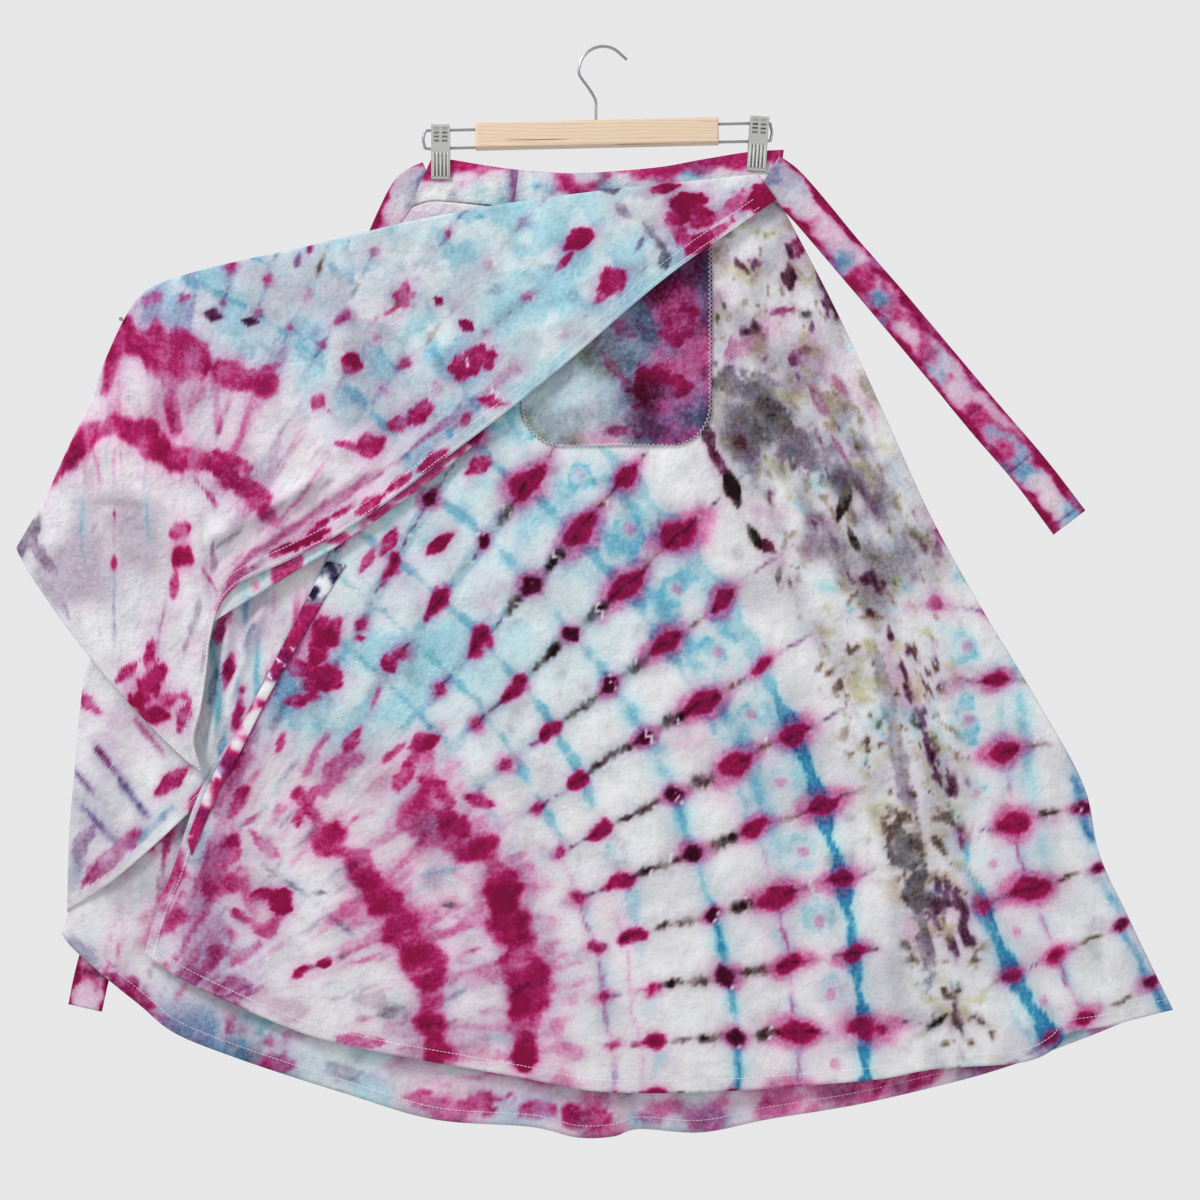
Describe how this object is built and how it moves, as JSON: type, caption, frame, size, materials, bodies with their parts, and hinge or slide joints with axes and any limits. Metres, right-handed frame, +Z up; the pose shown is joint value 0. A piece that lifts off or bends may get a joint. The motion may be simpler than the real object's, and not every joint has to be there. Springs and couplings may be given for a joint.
{
  "type": "wrap skirt on clip hanger",
  "caption": "Long flared cotton wrap skirt with waist ties, hung flat from a wooden clip hanger with its wrap turned up and pinned open; a soft garment for a rail or wall.",
  "frame": {"origin": "under side of the top of the hanger's hook, where it rests on a rail", "axes": "+Z up, +X to the viewer's right along the hanger, +Y from the front of the skirt to its back"},
  "size_m": [1.0393, 0.0322, 0.9874],
  "materials": {
    "dyed_cotton": "plain woven cotton, tie-dyed in magenta, aqua and grey on white, matt",
    "band_cotton": "two layers of the same cotton, dyed mostly magenta with pale and aqua patches, matt",
    "pocket_cotton": "dyed cotton with a white serged edge, matt",
    "pine": "pale pine, sanded and clear coated, satin",
    "bright_wire": "bright plated wire",
    "clip_metal": "pale grey pressed metal, satin"
  },
  "bodies": {
    "root": {"waistband_front_left": "band_cotton", "waistband_front_right": "band_cotton", "waistband_back": "band_cotton", "back_panel": "dyed_cotton", "under_panel": "dyed_cotton", "over_panel_side": "dyed_cotton", "over_panel_flap": "dyed_cotton", "pocket_bag": "pocket_cotton", "tie_right": "band_cotton", "tie_left": "band_cotton", "hanger_bar": "pine", "hanger_hook": "bright_wire", "wire_left": "bright_wire", "wire_right": "bright_wire", "clip_left_front": "clip_metal", "clip_left_back": "clip_metal", "clip_left_spring": "bright_wire", "clip_right_front": "clip_metal", "clip_right_back": "clip_metal", "clip_right_spring": "bright_wire", "wall_pin": "bright_wire"}
  },
  "joints": []
}
